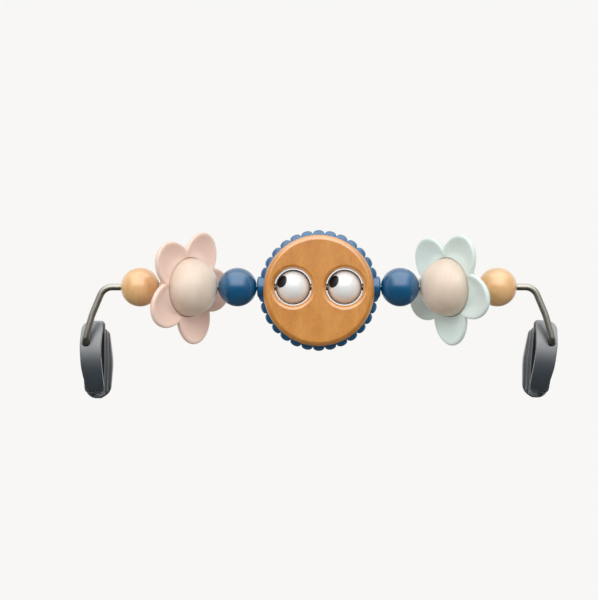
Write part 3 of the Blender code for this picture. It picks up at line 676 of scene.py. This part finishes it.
def eye_hole(steps=18):
    """Cutter for one eye's hole through the disc, opened out in a soft bevel at both faces."""
    shares = [step / steps for step in range(steps + 1)]
    half = [(EYE_HOLE, WOOD_HIGH - SINK_DEEP - 0.0008)]
    half += [(EYE_HOLE + SINK_WIDE * way, WOOD_HIGH - SINK_DEEP * (1 - way) ** 2.0) for way in shares]
    half += [(half[-1][0] + 0.0005, WOOD_HIGH + 0.0001), (half[-1][0] + 0.0005, WOOD_HIGH + 0.002)]
    low = [(radius, -along) for radius, along in reversed(half)]
    return moved(lathe([(0.0, low[0][1])] + low + half + [(0.0, half[-1][1])], 144), ALONG_Y)


def lobed_plate(steps=14, levels=14):
    """The plate between the wood discs: its rim is a row of round lobes, one of them at the top."""
    rings = []
    for level in range(levels + 1):
        share = -math.cos(math.pi * level / levels)
        fullness = math.sqrt(max(0.0, 1 - share * share))
        root = LOBE_ROOT - LOBE_FACE_DROP * abs(share) ** 3
        ring = []
        for step in range(LOBES * steps):
            turn = 2 * math.pi * (step / steps - 0.5) / LOBES
            across = 2 * (step % steps) / steps - 1
            radius = root + LOBE_HEIGHT * math.sqrt(1 - across * across) * fullness
            ring.append((radius * math.sin(turn), share * PLATE_HALF, radius * math.cos(turn)))
        rings.append(ring)
    return loft(rings)


def make_disc(wood_front, wood_rear, paint):
    centre = at(z=-DISC_DROP)
    front = helper("disc_front_blank", moved(disc_wood(), centre @ Matrix.Rotation(math.pi / 2, 4, "X")))
    rear = helper("disc_rear_blank", moved(disc_wood(), centre @ ALONG_Y))
    plate = helper("plate_blank", moved(lobed_plate(), centre))
    holes = [helper(f"eye_cut_{name}", moved(eye_hole(), at(side * EYE_X))) for name, side in SIDES.items()]
    bore = lathe([(0, -0.06), (BORE_RADIUS, -0.06), (BORE_RADIUS, 0.06), (0, 0.06)], 48)
    bore = helper("disc_bore", moved(bore, at() @ ALONG_X))
    for half in (front, rear):
        cut(half, *holes, sharp=30.0)
        # The flat face keeps flat shading beside the smooth edges
        for face in half.data.polygons:
            face.use_smooth = abs(face.normal.y) < 0.9999
    bosses = []
    shoulder = BOSS_END_X - BOSS_EDGE
    profile = [(0, BOSS_START), (BOSS_RADIUS, BOSS_START), (BOSS_RADIUS, shoulder)]
    profile += arc(BOSS_EDGE, 90.0, 0.0, 10, BOSS_RADIUS - BOSS_EDGE, shoulder) + [(0, BOSS_END_X)]
    for name, side in SIDES.items():
        boss = moved(lathe(profile, 96), at() @ Matrix.Rotation(side * math.pi / 2, 4, "Y"))
        bosses.append(helper("boss_" + name, boss))
    cut(plate, *bosses, operation="UNION")
    cut(plate, *holes, bore, sharp=30.0)
    piece("disc_face", front, wood_front, "disc", "amber_wood", "disc_front")
    piece("disc_back", rear, wood_rear, "disc", "amber_wood", "disc_rear")
    piece("lobed_plate", plate, paint, "disc", "blue_plate", "scalloped_plate")
    discard(bore, *holes, *bosses)


# Eyes

PUPIL_SEAT = PUPIL_RADIUS + 0.00012
PUPIL_DEEP = 0.0012  # from the pupil's edge to its socket's floor


def make_eyes(white, black):
    look = PUPIL_LOOK.to_track_quat("Z", "Y").to_matrix().to_4x4()
    edge = math.degrees(math.asin(PUPIL_RADIUS / EYE_RADIUS))
    floor = EYE_RADIUS * math.cos(math.radians(edge)) - PUPIL_DEEP
    for side_name, side in SIDES.items():
        place = at(side * EYE_X)
        body = side_name + "_eye"
        eye = lathe(ball_profile(EYE_RADIUS, BORE_RADIUS, 0.0004, 64), 128)
        eye = helper(body + "_blank", moved(eye, place @ ALONG_X))
        socket = lathe([(0, floor), (PUPIL_SEAT, floor), (PUPIL_SEAT, 0.02), (0, 0.02)], 96)
        socket = helper("socket", moved(socket, place @ look))
        cut(eye, socket)
        discard(socket)
        skin = arc(EYE_RADIUS, edge, 0.0, 14)
        skin[-1] = (0.0, EYE_RADIUS)
        low = skin[0][1]
        rim = [(PUPIL_RADIUS, low - 0.0003), (PUPIL_RADIUS - 0.00004, low - 0.0001)]
        plug = lathe([(0, floor + 0.0002), (PUPIL_RADIUS, floor + 0.0002)] + rim + skin[1:], 96)
        piece(body + "_ball", eye, white, body, "eye_white", side_name + "_eyeball")
        plug = moved(plug, place @ look)
        piece(body + "_pupil_plug", plug, black, body, "pupil_black", side_name + "_pupil")


# Clips. Sizes are depths behind the bar's plane, heights from the pin, and distances inward

TOP, LENGTH = 0.0187, 0.0715
BOTTOM = TOP - LENGTH
OUTER, SPINE = -0.0054, 0.0055
CROWN, REAR, FACE = 0.0045, 0.039, 0.0255
FRONT_ARCH, REAR_ARCH = 0.0085, 0.005
LIP, BEVEL, BEVEL_DEEP = 0.0212, 0.0011, 0.0017
WALL, CHANNEL_FLOOR, LIP_THICK = 0.003, 0.0062, 0.0017
MOUTH, MOUTH_DEEP = 0.0011, 0.0018  # of the bore's flare
WASHER_SEAT, WASHER_ROOM = 0.033, 0.0052
PAD_TOP, PAD_BOTTOM = (TOP + BOTTOM + 0.046) / 2, (TOP + BOTTOM - 0.046) / 2
OVERRUN = 0.003


def clip_outline(depth, outers, inner, foot):
    """One layer of the clip at a depth behind the bar's plane; corners are (inward, up, radius)."""
    corners = [(OUTER + 0.0013, TOP, 0.0085), *inner, foot, *outers]
    return [(inward, depth, up) for inward, up in rounded(corners, 12)]


def wall_layer():
    """The front wall's outline, tapered to its foot."""
    inner = [(0.0150, TOP, 0.006), (0.0136, -0.008, 0.085), (0.0163, BOTTOM + 0.0125, 0.0022)]
    outers = [(OUTER + 0.0012, -0.023, 0.08), (OUTER - 0.0001, -0.003, 0.06)]
    return outers, inner, (OUTER + 0.0063, BOTTOM + 0.0058, 0.005)


# The rear jaw's three steps, from the front
JAW_STARTS, JAW_ENDS = (FACE - 0.0003, 0.0287, 0.0322), (0.0284, 0.0319, REAR + OVERRUN)
JAW_REACH = (0.0145, 0.0172, 0.0199)
JAW_TOP, JAW_CORNER = (TOP, TOP - 0.008, TOP - 0.0105), (0.004, 0.0045, 0.005)
JAW_FOOT, FOOT_CORNER = (0.0134, 0.0157, 0.0181), (0.004, 0.0075, 0.0115)


def jaw_layer(number, inset=0.0):
    """One step of the rear jaw; inset draws its edge in for the bevel on its front."""
    reach = JAW_REACH[number] - inset
    inner = [
        (reach - 0.0003 - 0.0012 * number, JAW_TOP[number] - inset, JAW_CORNER[number]),
        (reach + 0.0002 * number, -0.02, 0.07),
        (JAW_FOOT[number] - inset, BOTTOM + inset, FOOT_CORNER[number]),
    ]
    outers = [(OUTER + 0.0002, -0.026, 0.085), (OUTER - 0.0009, -0.002, 0.06)]
    return outers, inner, (OUTER + 0.0022, BOTTOM + inset, 0.0102)


def arched(crown, drop, low, high, sign, steps=40):
    """(depth, up) points of a face that bows away by drop from its crown to both ends."""
    middle = TOP - LENGTH / 2
    ups = [low + (high - low) * step / steps for step in range(steps + 1)]
    return [(crown + sign * drop * ((up - middle) / (LENGTH / 2)) ** 2, up) for up in ups]


def across_prism(outline, low, high):
    """A solid between two distances inward, from its (depth, up) outline."""
    return loft([[(inward, depth, up) for depth, up in outline] for inward in (low, high)])


def clip_shell():
    """The left clip's shell: an arched front wall, the spine with the pin's bore, and the rear jaw."""
    layers = [(CROWN - OVERRUN, wall_layer()), (LIP - 0.0003, wall_layer()), (LIP, jaw_layer(0, BEVEL))]
    for number, (start, end) in enumerate(zip(JAW_STARTS, JAW_ENDS)):
        full = jaw_layer(number)
        layers += [(start, jaw_layer(number, BEVEL)), (start + BEVEL_DEEP, full), (end, full)]
    shell = loft([clip_outline(depth, *layer) for depth, layer in layers])
    bmesh.ops.triangulate(shell, faces=shell.faces)
    shell = helper("clip_blank", shell)
    low, high = BOTTOM - OVERRUN, TOP + OVERRUN
    faces = arched(CROWN, FRONT_ARCH, low, high, 1) + arched(REAR, REAR_ARCH, high, low, -1)
    faces = helper("clip_faces", across_prism(faces, OUTER - OVERRUN, 0.03))
    floor, lip = BOTTOM + CHANNEL_FLOOR, BOTTOM + LIP_THICK
    cavity = arched(CROWN + WALL, FRONT_ARCH, floor, high, 1) + [(FACE, high), (FACE, floor)]
    cavity = helper("clip_channel", across_prism(cavity, SPINE, 0.03))
    scoop = [(FACE - 0.00005, floor + 0.0004)]
    scoop += [(FACE - 0.0006, BOTTOM + 0.0046), (FACE - 0.002, BOTTOM + 0.0028)]
    scoop += [(LIP + 0.0006, BOTTOM + 0.002), (LIP - 0.0006, lip), (0.0, lip), (0.0, floor + 0.0004)]
    scoop = helper("clip_scoop", across_prism(scoop, OUTER - OVERRUN, 0.031))
    bore = [(0, 0.0), (BORE_RADIUS + MOUTH, 0.0), (BORE_RADIUS + MOUTH, CROWN)]
    bore += [(BORE_RADIUS, CROWN + MOUTH_DEEP), (BORE_RADIUS, WASHER_SEAT)]
    bore += [(WASHER_ROOM, WASHER_SEAT), (WASHER_ROOM, REAR + OVERRUN), (0, REAR + OVERRUN)]
    bore = helper("clip_bore", moved(lathe(bore, 64), ALONG_Y))
    low, high = PAD_BOTTOM - 0.0003, PAD_TOP + 0.0003
    front, back = FACE - 0.002, FACE + 0.0017
    pocket = [(front, low), (front, high), (back, high), (back, low)]
    pocket = helper("clip_pocket", across_prism(pocket, SPINE + 0.0005, SPINE + 0.0075))
    cut(cavity, pocket, operation="UNION")
    cut(shell, faces, operation="INTERSECT")
    cut(shell, cavity, scoop, bore)
    discard(faces, cavity, scoop, bore, pocket)
    remesh = shell.modifiers.new("even", "REMESH")
    remesh.mode, remesh.voxel_size = "VOXEL", 0.00038
    remesh.use_smooth_shade = True
    soften = shell.modifiers.new("soften", "SMOOTH")
    soften.factor, soften.iterations = 0.5, 3
    baked(shell)
    shell.data.shade_smooth()
    return shell


def liner():
    """The jaw's soft pad, with grip ribs across it."""
    low, high = PAD_BOTTOM, PAD_TOP
    face, seat, rib_height = FACE - 0.0004, FACE + 0.0014, 0.00035
    outline = [(seat, high), (seat, low), (face, low)]
    ribs, steps = 30, 6
    pitch = (high - low - 0.002) / ribs
    for rib in range(ribs):
        for step in range(steps):
            up = low + 0.001 + pitch * (rib + step / steps)
            wave = 0.5 + 0.5 * math.cos(2 * math.pi * step / steps)
            outline.append((face + rib_height * wave, up))
    outline += [(face + rib_height, high - 0.001), (face, high)]
    return across_prism(outline, SPINE + 0.0008, SPINE + 0.0072)


def washer():
    """A toothed spring washer, slightly dished."""
    rings = []
    steps, tooth, gap = 120, 20, 5
    rim = [(0.0042, 0.0), (0.0047, 0.00005), (0.0048, 0.0003), (0.0047, 0.0006), (0.0042, 0.0006)]
    for step in range(steps):
        turn = 2 * math.pi * step / steps
        bore = 0.0041 if step % tooth < gap else 0.00312
        section = [(bore, 0.00035), *rim, (bore, 0.00095)]
        rings.append([(radius * math.cos(turn), radius * math.sin(turn), up) for radius, up in section])
    return moved(loft(rings, closed=True), ALONG_Y @ Matrix.Translation((0, 0, 0.0333)))


def make_clips(shell_material, liner_material, steel_material):
    blank = clip_shell()
    for side_name, side in SIDES.items():
        flip = Matrix.Scale(-side, 4, (1, 0, 0))
        lean = Matrix.Rotation(side * CLIP_LEANS[side], 4, "Y")
        place = at(side * PIN_X, 0, -PIN_DROP) @ lean @ flip
        shell = bpy.data.objects.new("shell", blank.data.copy())
        bpy.context.scene.collection.objects.link(shell)
        shell.data.transform(place)
        if side > 0:
            shell.data.flip_normals()
        body = side_name + "_clip"
        piece(body + "_body", shell, shell_material, body, "clip", body + "_shell")
        piece(body + "_pad", moved(liner(), place), liner_material, body, "liner", body + "_liner")
        ring = moved(washer(), place)
        node = side_name + "_retaining_washer"
        piece(side_name + "_spring_washer", ring, steel_material, "bar", "steel", node)
    discard(blank)

# Put together

UPRIGHT = (0.0, math.radians(90.0), 0.0)  # turns the fibres upright

# Woods: dark, middle and light tone, and the pores
BEECH = ((220, 160, 96), (240, 192, 134), (246, 206, 152), (178, 114, 58))
AMBER = ((198, 122, 42), (216, 144, 58), (229, 162, 80), (142, 78, 30))
BIRCH = ((228, 206, 185), (237, 219, 201), (243, 229, 214), (198, 164, 134))
BEAD_FINISH = {"grain": 0.2, "fleck": 0.2, "rough": 0.36, "coat": 1.0, "streak": 0.3, "sheen": 1.6}
BALL_FINISH = {"grain": 0.12, "fleck": 0.15, "rough": 0.5, "coat": 0.4, "streak": 0.3}
PETAL_FINISH = {"rough": 0.42, "spots": 0.4, "soft": 0.3}

naturals = {
    "left": wood("beech_left", BEECH, UPRIGHT, (0.31, 0.02, 0.155), **BEAD_FINISH),
    "right": wood("beech_right", BEECH, UPRIGHT, (0.74, 0.41, 0.12), **BEAD_FINISH),
}
balls = {
    "left": wood("birch_left", BIRCH, UPRIGHT, (0.1, 0.3, 0.5), **BALL_FINISH),
    "right": wood("birch_right", BIRCH, UPRIGHT, (0.6, 0.2, 0.9), **BALL_FINISH),
}
petals = {
    "left": plastic("pink_moulding", (251, 217, 202), (253, 225, 212), **PETAL_FINISH),
    "right": plastic("mint_moulding", (226, 243, 238), (233, 247, 243), **PETAL_FINISH),
}
blue_paint = lacquer("blue_lacquer", (5, 81, 124), (10, 92, 138))
plate_paint = lacquer("plate_lacquer", (5, 82, 128), (10, 93, 141))
disc_front = wood(
    "amber_front", AMBER, UPRIGHT, (0.2, 0.5, 0.02), grain=0.3, rough=0.4, coat=1.0, streak=0.6, sheen=2.0
)
disc_rear = wood(
    "amber_rear", AMBER, UPRIGHT, (0.5, 0.1, 0.7), grain=0.3, rough=0.4, coat=0.8, streak=0.6
)
eye_white = plastic(
    "white_moulding", (240, 244, 243), (245, 248, 247), 0.4, bump=0.02,
    coat=1.0, haze=0.06, soft=0.35, reach=0.004,
)
pupil_black = plastic(
    "black_moulding", (10, 14, 22), (15, 19, 28), 0.4, bump=0.02, shine=0.3, coat=0.7, haze=0.2
)
slate = plastic(
    "slate_moulding", (38, 47, 54), (46, 56, 64), 0.32, bump=0.02, size=1100.0, spots=0.3,
    shine=0.9, coat=1.0, sheen=1.95, haze=0.36,
)
pad = plastic("pad_rubber", (34, 39, 42), (44, 50, 54), 0.75, bump=0.25, size=900.0)
nylon = plastic("nylon", (214, 214, 208), (228, 228, 224), 0.45)
dowel = wood("dowel_birch", BIRCH, (0.0, 0.0, 0.0), (0.3, 0.7, 0.1), rough=0.7)
wire = steel("drawn_steel", (180, 176, 166), 0.45, along="length")
spring = steel("spring_steel", (150, 148, 142), 0.3)

make_rod(wire)
make_beads(naturals, blue_paint)
make_flowers(balls, petals)
make_disc(disc_front, disc_rear, plate_paint)
make_eyes(eye_white, pupil_black)
make_clips(slate, pad, spring)

# The dowels, sleeves and bushes keep the solids' meshes
for name, node in frame["nodes"].items():
    inner = dowel if "dowel" in name else nylon if "sleeve" in name or "bush" in name else None
    if inner:
        node.data.materials.clear()
        node.data.materials.append(inner)

# Floor, background and lights

PALE = shade(248, 247, 245)
LOW_LIGHT, HIGH_LIGHT = (0.23, 0.195, 0.165, 1.0), (0.36, 0.36, 0.36, 1.0)
ROOM, SOFTBOX, SOFTBOX_EDGE = (0.05, 0.2), 2.5, (0.0, 0.38)
FLOOR_GLOW = 0.1
FLOOR_DROP = 0.75
LIGHT_AIM = Vector((0.0, 0.0, 0.05))


def behind_rays(tree):
    """Switches for rays that show the background, directly or through clear pieces, and for glossy rays."""
    path = tree.nodes.new("ShaderNodeLightPath")
    either = tree.nodes.new("ShaderNodeMath")
    either.operation = "MAXIMUM"
    tree.links.new(path.outputs["Is Camera Ray"], either.inputs[0])
    tree.links.new(path.outputs["Is Transmission Ray"], either.inputs[1])
    return either.outputs[0], path.outputs["Is Glossy Ray"]


def make_floor():
    """A pale round floor; its rim fades into the background."""
    turns = [2 * math.pi * step / 96 for step in range(96)]
    sizes = (0.05, 0.2, 0.35, 0.5)
    rings = [[(size * math.cos(a), size * math.sin(a), 0.0) for a in turns] for size in sizes]
    shape = loft(rings, capped=False)
    shape.faces.new(list(shape.verts)[:96])
    floor = helper("floor", moved(shape, Matrix.Translation((0.0, 0.0, -FLOOR_DROP))))
    r = Recipe("pale_floor")
    cloud = r.noise(r.stretched((8.0, 8.0, 8.0)))
    r.finish(Base_Color=r.ramp(cloud, (0.3, (216, 215, 213)), (0.7, (224, 223, 221))), Roughness=0.85)
    away = r.add("ShaderNodeVectorMath", {0: r.place, 1: (1.0, 1.0, 0.0)}, operation="MULTIPLY").outputs[0]
    away = r.add("ShaderNodeVectorMath", {0: away}, operation="LENGTH").outputs["Value"]
    behind, glossy = behind_rays(r.tree)
    glow = r.math("MULTIPLY_ADD", behind, 1.0 - FLOOR_GLOW, FLOOR_GLOW)
    rim = r.add("ShaderNodeEmission", {"Color": PALE, "Strength": glow})
    mix = r.add("ShaderNodeMixShader", {0: r.math("MAXIMUM", glossy, r.spread(away, 0.26, 0.46))})
    out = r.tree.nodes["Material Output"]
    r.tree.links.new(r.shader.outputs[0], mix.inputs[1])
    r.tree.links.new(rim.outputs[0], mix.inputs[2])
    r.tree.links.new(mix.outputs[0], out.inputs["Surface"])
    floor.data.materials.append(r.material)


def make_light(name, place, size, power):
    """A lamp turned to the toy. Reflections see the world's softbox in its place."""
    data = bpy.data.lights.new(name, "AREA")
    data.shape = "RECTANGLE"
    data.size, data.size_y = size
    data.energy = power
    light = bpy.data.objects.new(name, data)
    bpy.context.scene.collection.objects.link(light)
    light.location = place
    light.rotation_euler = (LIGHT_AIM - Vector(place)).to_track_quat("-Z", "Y").to_euler()
    light.visible_glossy = False


def make_world():
    """A pale backdrop, and soft light all round. Reflections see a dim room under one wide softbox."""
    world = bpy.data.worlds.new("studio")
    bpy.context.scene.world = world
    world.use_nodes = True
    world.node_tree.nodes.clear()
    r = Recipe(tree=world.node_tree)
    where = r.add("ShaderNodeTexCoord").outputs["Generated"]
    aside, away, up = r.add("ShaderNodeSeparateXYZ", {0: where}).outputs
    behind, glossy = behind_rays(r.tree)
    # Soft light, as diffuse surfaces see it
    soft = r.mix(r.spread(up, -0.8, 0.8), LOW_LIGHT, HIGH_LIGHT)
    soft = r.mix(r.spread(away, 0.2, 0.7), soft, PALE)
    # Reflections
    room = r.spread(up, -0.4, 0.15, *ROOM, curve="SMOOTHSTEP")
    box = r.spread(up, *SOFTBOX_EDGE, 0.0, SOFTBOX, curve="SMOOTHSTEP")
    ends = r.spread(r.math("ABSOLUTE", aside), 0.45, 0.85, 1.0, 0.06, curve="SMOOTHSTEP")
    box = r.math("MULTIPLY", box, ends)
    backdrop = r.math("MULTIPLY", r.spread(away, 0.0, 0.4), r.spread(up, -0.6, -0.1), clamp=True)
    shown = r.mix(backdrop, r.math("ADD", room, box), PALE)
    colour = r.mix(glossy, soft, shown)
    colour = r.mix(behind, colour, PALE)
    light = r.add("ShaderNodeBackground", {"Color": colour, "Strength": 1.0})
    out = r.add("ShaderNodeOutputWorld")
    r.tree.links.new(light.outputs[0], out.inputs["Surface"])


make_floor()
make_world()
make_light("main", (0.0, -1.1, 1.1), (1.9, 1.4), 14.0)
make_light("left", (-1.35, -1.0, 0.65), (1.2, 1.2), 10.0)
make_light("right", (1.35, -1.0, 0.65), (1.2, 1.2), 9.5)

bpy.context.scene.view_settings.view_transform = "Standard"
